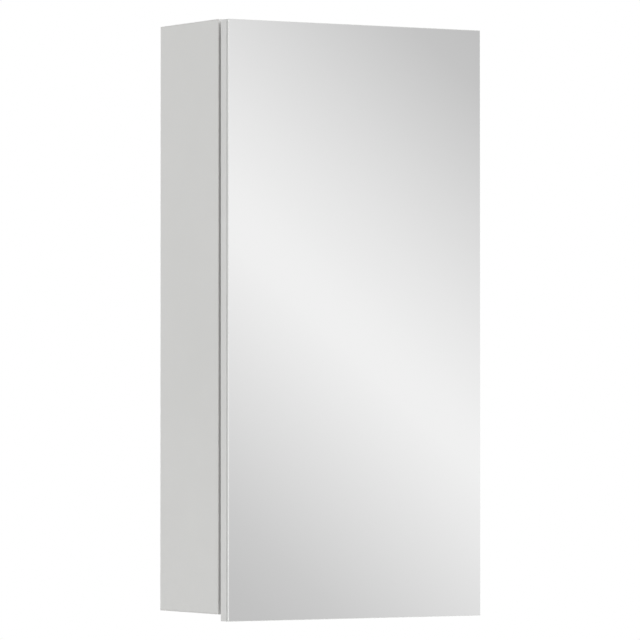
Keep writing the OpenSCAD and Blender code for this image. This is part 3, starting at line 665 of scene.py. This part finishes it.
# a wave texture turns 20 radians to the metre at a scale of 1
threads = [
    put(tree, "ShaderNodeTexWave",
        {"Vector": place, "Scale": 1.0 / screen_pitch / 20.0 * full_turn, "Distortion": 0.0},
        wave_type="BANDS", bands_direction=way, wave_profile="SIN").outputs["Fac"]
    for way in "XZ"]
woven = calc(tree, "MULTIPLY", calc(tree, "MAXIMUM", *threads), at_rear)
height = calc(tree, "ADD", calc(tree, "MULTIPLY", woven, thread_share),
              calc(tree, "MULTIPLY", fibres, fibre_share))
printed = bumps(tree, calc(tree, "MULTIPLY", height, rest_of(tree, lacquered)), print_rise)
brushed_on = calc(tree, "MULTIPLY", pearl["Height"], lacquered)
link(tree, surface,
     Base_Color=mixed(tree, lacquered, brown, toned(tree, lacquer_white, pearl["Tone"])),
     Roughness=between(tree, lacquered, 0.0, 1.0, rough, smooth),
     Normal=bumps(tree, brushed_on, lacquer_rise, printed))
coat("back_panel", hardboard)


# The screws: zinc-plated steel, turned and thread-rolled, with a tapered cross recess. The ones
# in the back panel are countersunk, the hinges' adjusting screws are headless, and the others
# have a domed head.
def feed(tree, kind, feeds=(), **settings):
    """A geometry node's first output."""
    return put(tree, kind, feeds, **settings).outputs[0]


def joined(tree, x=0.0, y=0.0, z=0.0):
    """The vector of three numbers."""
    return put(tree, "ShaderNodeCombineXYZ", {0: x, 1: y, 2: z}).outputs[0]


def screw_head(tree, given):
    """A ball reshaped into a domed top over a flat or cone-shaped underside."""
    rim_fullness, crown_fullness = 0.55, 0.7
    ball = feed(tree, "GeometryNodeMeshUVSphere", {"Segments": 32, "Rings": 24, "Radius": 1.0})
    place = feed(tree, "GeometryNodeInputPosition")
    flat = vector(tree, "MULTIPLY", place, (1.0, 1.0, 0.0))
    up = parts_of(tree, place)[2]
    above = calc(tree, "MAXIMUM", up, 0.0)
    under = calc(tree, "MAXIMUM", calc(tree, "MULTIPLY", up, -1.0), 0.0)
    round_reach = calc(tree, "POWER", vector(tree, "LENGTH", flat, want="Value"), rim_fullness)
    reach = calc(tree, "MINIMUM", round_reach, rest_of(tree, under))
    reach = calc(tree, "MULTIPLY", reach, given["Head Radius"])
    dome = calc(tree, "MULTIPLY", calc(tree, "POWER", above, crown_fullness), given["Crown"])
    rise = calc(tree, "SUBTRACT", dome, calc(tree, "MULTIPLY", under, given["Sink"]))
    outward = feed(tree, "ShaderNodeVectorMath",
                   {0: vector(tree, "NORMALIZE", flat), "Scale": reach}, operation="SCALE")
    spot = vector(tree, "ADD", outward, joined(tree, z=rise))
    return feed(tree, "GeometryNodeSetPosition", {"Geometry": ball, "Position": spot})


def with_recess(tree, given, head):
    """The head with two crossed wings cut into it, which narrow towards the bottom."""
    overrun = 0.0005
    same_spot = 0.000002
    top = calc(tree, "ADD", given["Crown"], overrun)
    deep = calc(tree, "ADD", given["Recess Depth"], overrun)
    lift = joined(tree, z=calc(tree, "SUBTRACT", top, calc(tree, "MULTIPLY", deep, 0.5)))
    long_side = calc(tree, "MULTIPLY", given["Recess Reach"], 2.0)
    short_side = given["Recess Width"]
    cutting = put(tree, "GeometryNodeMeshBoolean", {0: head},
                  operation="DIFFERENCE", solver="EXACT")
    for x, y in ((long_side, short_side), (short_side, long_side)):
        bar = feed(tree, "GeometryNodeMeshCube", {"Size": joined(tree, x, y, deep)})
        place = feed(tree, "GeometryNodeInputPosition")
        at_top = calc(tree, "GREATER_THAN", parts_of(tree, place)[2], 0.0)
        narrowed = calc(tree, "ADD", calc(tree, "MULTIPLY", at_top, 0.5), 0.5)
        tapered = vector(tree, "MULTIPLY", place, joined(tree, narrowed, narrowed, 1.0))
        spot = vector(tree, "ADD", tapered, lift)
        wing = feed(tree, "GeometryNodeSetPosition", {"Geometry": bar, "Position": spot})
        tree.links.new(wing, cutting.inputs["Mesh 2"])
    return feed(tree, "GeometryNodeMergeByDistance",
                {"Geometry": cutting.outputs[0], "Distance": same_spot})


def screw_shank(tree, given):
    """A core that starts under the recess, and the rolled thread wound round it."""
    left_under_recess = 0.0002
    threaded_share, tip_share = 0.86, 0.97
    radius = calc(tree, "SUBTRACT", given["Shank Radius"], given["Thread Depth"])
    recess_floor = calc(tree, "SUBTRACT", given["Crown"], given["Recess Depth"])
    core_top = calc(tree, "SUBTRACT", recess_floor, left_under_recess)
    core_top = calc(tree, "MINIMUM", core_top, 0.0)
    core = feed(tree, "GeometryNodeMeshCylinder", {
        "Vertices": 20, "Radius": radius,
        "Depth": calc(tree, "ADD", given["Shank Length"], core_top)})
    middle = calc(tree, "MULTIPLY", calc(tree, "SUBTRACT", core_top, given["Shank Length"]), 0.5)
    core = feed(tree, "GeometryNodeTransform",
                {"Geometry": core, "Translation": joined(tree, z=middle)})
    threaded = calc(tree, "MULTIPLY_ADD", given["Shank Length"], threaded_share, core_top)
    helix = feed(tree, "GeometryNodeCurveSpiral", {
        "Resolution": 16, "Rotations": calc(tree, "DIVIDE", threaded, given["Thread Pitch"]),
        "Start Radius": radius, "End Radius": radius, "Height": threaded})
    tip = calc(tree, "MULTIPLY", given["Shank Length"], -tip_share)
    helix = feed(tree, "GeometryNodeTransform",
                 {"Geometry": helix, "Translation": joined(tree, z=tip)})
    ridge = feed(tree, "GeometryNodeCurvePrimitiveCircle",
                 {"Resolution": 4, "Radius": given["Thread Depth"]})
    thread = feed(tree, "GeometryNodeCurveToMesh",
                  {"Curve": helix, "Profile Curve": ridge, "Fill Caps": True})
    return core, thread


def turned_screw():
    """Geometry Nodes that put one screw at each point, its head pointing along 'heading'."""
    seed = 7
    quarter_turn = 1.5708
    sizes = {
        "Head Radius": 0.003, "Crown": 0.002, "Sink": 0.0,
        "Shank Radius": 0.0015, "Shank Length": 0.012,
        "Thread Depth": 0.0004, "Thread Pitch": 0.0012,
        "Recess Reach": 0.0018, "Recess Width": 0.0006, "Recess Depth": 0.0013}
    tree = bpy.data.node_groups.new("cross_recessed_screw", "GeometryNodeTree")
    tree.is_modifier = True
    new = tree.interface.new_socket
    new(name="Geometry", in_out="INPUT", socket_type="NodeSocketGeometry")
    for label, value in sizes.items():
        new(name=label, in_out="INPUT", socket_type="NodeSocketFloat").default_value = value
    new(name="Seed", in_out="INPUT", socket_type="NodeSocketInt").default_value = seed
    new(name="Finish", in_out="INPUT", socket_type="NodeSocketMaterial")
    new(name="Geometry", in_out="OUTPUT", socket_type="NodeSocketGeometry")
    given = tree.nodes.new("NodeGroupInput").outputs
    result = tree.nodes.new("NodeGroupOutput").inputs

    whole = tree.nodes.new("GeometryNodeJoinGeometry")
    for part in (with_recess(tree, given, screw_head(tree, given)), *screw_shank(tree, given)):
        tree.links.new(part, whole.inputs[0])
    heading = feed(tree, "GeometryNodeInputNamedAttribute", {"Name": "heading"},
                   data_type="FLOAT_VECTOR")
    aimed = feed(tree, "FunctionNodeAlignRotationToVector", {"Vector": heading}, axis="Z")
    turn = put(tree, "FunctionNodeRandomValue", {3: quarter_turn, "Seed": given["Seed"]},
               data_type="FLOAT").outputs[1]
    spin = feed(tree, "FunctionNodeAxisAngleToRotation", {"Axis": (0.0, 0.0, 1.0), "Angle": turn})
    driven = feed(tree, "FunctionNodeRotateRotation", {0: aimed, 1: spin}, rotation_space="LOCAL")
    placed = feed(tree, "GeometryNodeInstanceOnPoints", {
        "Points": given["Geometry"], "Instance": whole.outputs[0], "Rotation": driven})
    real = feed(tree, "GeometryNodeRealizeInstances", {"Geometry": placed})
    plated = feed(tree, "GeometryNodeSetMaterial", {"Geometry": real, "Material": given["Finish"]})
    tree.links.new(plated, result[0])
    return tree


def solids_of(node):
    """The low and high corner of each separate solid in a CAD node."""
    shell = welded(node)
    left, boxes = set(shell.verts), []
    for start in shell.verts:
        if start not in left:
            continue
        left.discard(start)
        ends, solid = [start], []
        while ends:
            vert = ends.pop()
            solid.append(vert.co.copy())
            for edge in vert.link_edges:
                other = edge.other_vert(vert)
                if other in left:
                    left.discard(other)
                    ends.append(other)
        boxes.append([Vector(pick(at[axis] for at in solid) for axis in range(3))
                      for pick in (min, max)])
    shell.free()
    return boxes


screw_tree = turned_screw()


def screws(node, name, facing, head_height, **sizes):
    """Screws in the places of a CAD node's solids, heads towards facing(centre of the solid)."""
    sharp_from = math.radians(38)
    points, headings, lengths = [], [], []
    for low, high in solids_of(node):
        middle = (low + high) / 2
        heading = Vector(facing(middle))
        half = abs((high - low).dot(heading)) / 2
        points.append(middle + heading * (half - head_height))
        headings.append(heading)
        lengths.append(2 * half - head_height)
    mesh = bpy.data.meshes.new(name)
    mesh.from_pydata(points, [], [])
    mesh.attributes.new("heading", "FLOAT_VECTOR", "POINT").data.foreach_set(
        "vector", [part for heading in headings for part in heading])
    places = settle(bpy.data.objects.new(name + "_places", mesh))
    turning = places.modifiers.new("turning", "NODES")
    turning.node_group = screw_tree
    sockets = {item.name: item.identifier for item in screw_tree.interface.items_tree
               if item.in_out == "INPUT"}
    for label, value in dict(sizes, Finish=zinc_plate, Shank_Length=min(lengths)).items():
        turning[sockets[label.replace("_", " ")]] = value
    finished = made_plain(places, name)
    for polygon in finished.polygons:
        polygon.use_smooth = True
    finished.set_sharp_from_angle(angle=sharp_from)
    stand_for(settle(bpy.data.objects.new(name, finished)), node, zinc_plate)


dome_height = 0.002
wood_screw = {"Head_Radius": 0.003, "Shank_Radius": 0.0015,
              "Thread_Depth": 0.0004, "Thread_Pitch": 0.0013}
screws("back_panel_screws", "back_panel_screws_countersunk", lambda at: (0, 1, 0), 0.0,
       Crown=0.0, Sink=0.003, Recess_Reach=0.0016, **wood_screw)


# The hanging brackets: corners bent from 2 mm steel, nickel-plated, one hole each for the wall
# screw and two for the screws into the side. Handling has rubbed their edges bright.
nickel = bare_metal("nickel_plated_steel", (0.55, 0.535, 0.51, 1), rough=0.32, rise=0.000003,
                    Grain=420.0, Draw=(1.0, 1.0, 0.3))
rubbed_nickel = bare_metal("rubbed_nickel", (0.68, 0.665, 0.64, 1), rough=0.22, rise=0.000002,
                           Grain=420.0)


def nickel_piece(node, made, radius):
    """A nickel-plated steel piece in a CAD node's place, named for how it was made."""
    stand_for(eased(node, node + "_" + made, radius, steps=3), node,
              nickel, rubbed_nickel)


for node in ("left_hanging_bracket", "right_hanging_bracket"):
    nickel_piece(node, "pressed", 0.00035)
screws("bracket_screws", "bracket_screws_domed", lambda at: (-math.copysign(1, at.x), 0, 0),
       dome_height, **wood_screw)


# The shelves: 12 mm faced board with a band on the front edge, loose on four nickel-plated
# steel supports each, which plug into holes in the sides.
for number, node in enumerate(("upper_shelf", "lower_shelf")):
    coat(node, faced_board(node, 2, (number * 1.9, 0.7, 0.0)))
trim_bands("shelf_edge_bands")
nickel_piece("shelf_supports", "pressed", 0.0004)


# The fixed half of each hinge: a die-formed mounting plate screwed to the right side, and the
# channel-shaped arm over its rib, held by a clamp screw and set by an adjusting screw.
for node in ("upper_hinge_plate", "upper_hinge_arm", "lower_hinge_plate", "lower_hinge_arm"):
    nickel_piece(node, "formed", 0.0004)
machine_screw = {"Shank_Radius": 0.0025, "Thread_Depth": 0.0004, "Thread_Pitch": 0.0009}
for node in ("hinge_plate_screws", "hinge_clamp_screws"):
    screws(node, node + "_domed", lambda at: (-1, 0, 0), dome_height, Head_Radius=0.0042,
           Recess_Reach=0.0026, Recess_Width=0.0008, **machine_screw)
screws("hinge_adjusting_screws", "hinge_adjusting_screws_set", lambda at: (-1, 0, 0), 0.0,
       Head_Radius=0.0025, Crown=0.0, Sink=0.006, Recess_Reach=0.0017, Recess_Width=0.0007,
       Recess_Depth=0.0012, **machine_screw)


# The door board: 12 mm particle board with the same white film on both faces, bored twice at
# 35 mm for the hinge cups.
coat("door_board", faced_board("door_board", 1, (0.4, 0.0, 2.9)))


# The bands around the door board: the same white plastic strip as the carcass's, glued to all
# four edges and trimmed flush.
trim_bands("door_side_edge_bands")
trim_bands("door_end_edge_bands")


# The tape behind the mirror: strips of dark double-sided foam, 0.8 mm thick, with a cut edge
# that shows the foam's cells.
dark_foam, dusty_foam = (0.045, 0.045, 0.047, 1), (0.10, 0.10, 0.10, 1)
cells_to_metre, grime_waves = 2600.0, 150.0
foam_rough = (0.75, 0.95)
cell_rise = 0.00012
foam, tree, surface = new_finish("foam_tape", Specular_IOR_Level=0.2)
place = object_place(tree)
bubbles = put(tree, "ShaderNodeTexVoronoi", {"Vector": place, "Scale": cells_to_metre})
cells = bubbles.outputs["Distance"]
grime = noise(tree, place, grime_waves, detail=3.0)
link(tree, surface,
     Base_Color=mixed(tree, grime, dark_foam, dusty_foam),
     Roughness=between(tree, cells, 0.0, 0.6, *foam_rough),
     Normal=bumps(tree, cells, cell_rise))
coat("mirror_tape_strips", foam)


# The mirror: 3 mm float glass, silvered and painted grey behind, cut square and ground to a
# narrow sloping rim on all four front edges. Its sides show the glass's faint green.
arris_width = 0.0005
front_skin, arris_blend, paint_skin = (0.00001, 0.00004), 0.00003, (0.00006, 0.00002)
haze_swing = 0.002
haze_waves, wheel_waves = 14.0, 700.0
dark_ground, pale_ground = (0.925, 0.93, 0.91, 1), (0.97, 0.975, 0.955, 1)
dark_side, pale_side = (0.775, 0.79, 0.765, 1), (0.855, 0.87, 0.845, 1)
back_paint = (0.20, 0.21, 0.22, 1)
ground_metal = 0.8
silver_rough, ground_rough, paint_rough = (0.012, 0.03), (0.16, 0.3), 0.7
grinding_rise = 0.00004
mirror, tree, surface = new_finish("silvered_glass", IOR=1.5)
low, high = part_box("mirror_glass")
place = object_place(tree)
depth = parts_of(tree, place)[1]
facing = between(tree, depth, low.y + front_skin[0], low.y + front_skin[1], 1.0, 0.0)
arris_end = low.y + arris_width
on_side = between(tree, depth, arris_end - arris_blend, arris_end + arris_blend)
painted = between(tree, depth, high.y - paint_skin[0], high.y - paint_skin[1])
waves = noise(tree, place, wheel_waves, detail=3.0, rough=0.6)
haze = noise(tree, place, haze_waves, detail=4.0, rough=0.6)
silver = mixed(tree, haze, (mirror_returns - haze_swing,) * 3 + (1,),
               (mirror_returns + haze_swing,) * 3 + (1,))
rim = mixed(tree, on_side, mixed(tree, waves, dark_ground, pale_ground),
            mixed(tree, waves, dark_side, pale_side))
ground = calc(tree, "MULTIPLY", rest_of(tree, on_side), ground_metal)
scoured = between(tree, waves, *pattern_range, *ground_rough)
dull = between(tree, painted, 0.0, 1.0, scoured, paint_rough)
bright = between(tree, haze, 0.35, 0.7, *silver_rough)
grinding = calc(tree, "MULTIPLY", waves, rest_of(tree, facing))
link(tree, surface,
     Base_Color=mixed(tree, painted, mixed(tree, facing, rim, silver), back_paint),
     Metallic=calc(tree, "MAXIMUM", facing, ground),
     Roughness=between(tree, facing, 0.0, 1.0, dull, bright),
     Normal=bumps(tree, grinding, grinding_rise))
coat("mirror_glass", mirror)


# The moving half of each hinge: a cup drawn from steel sheet, let into the door and screwed down
# by its flange, the pin that the arm turns on, and the leaf spring that pulls the door shut.
for node in ("upper_hinge_cup", "lower_hinge_cup"):
    nickel_piece(node, "drawn", 0.0003)
screws("hinge_cup_screws", "hinge_cup_screws_domed", lambda at: (0, 1, 0), dome_height,
       **wood_screw)
coat("hinge_pivot_pins", worn_plate)
spring_steel = bare_metal("spring_steel", (0.36, 0.37, 0.40, 1), rough=0.25, rise=0.000004,
                          Grain=900.0, Draw=(0.1, 1.0, 1.0))
stand_for(eased("hinge_closing_springs", "hinge_closing_springs_bent", 0.0001),
          "hinge_closing_springs", spring_steel, worn_plate)


# The door's bumpers: soft clear plastic buttons with a domed top, stuck on the door's back,
# where it meets the left side.
milky, clearest = (0.86, 0.86, 0.84, 1), (0.93, 0.93, 0.91, 1)
milk_waves = 400.0
button_rough, button_rise = (0.18, 0.34), 0.00005
dome_round = 0.0016
soft_clear, tree, surface = new_finish("clear_soft_plastic", IOR=1.48, Transmission_Weight=0.7)
clouds = noise(tree, object_place(tree), milk_waves, detail=3.0)
link(tree, surface,
     Base_Color=mixed(tree, clouds, milky, clearest),
     Roughness=between(tree, clouds, *pattern_range, *button_rough),
     Normal=bumps(tree, clouds, button_rise))
stand_for(eased("door_bumpers", "door_bumpers_domed", dome_round, steps=5),
          "door_bumpers", soft_clear)
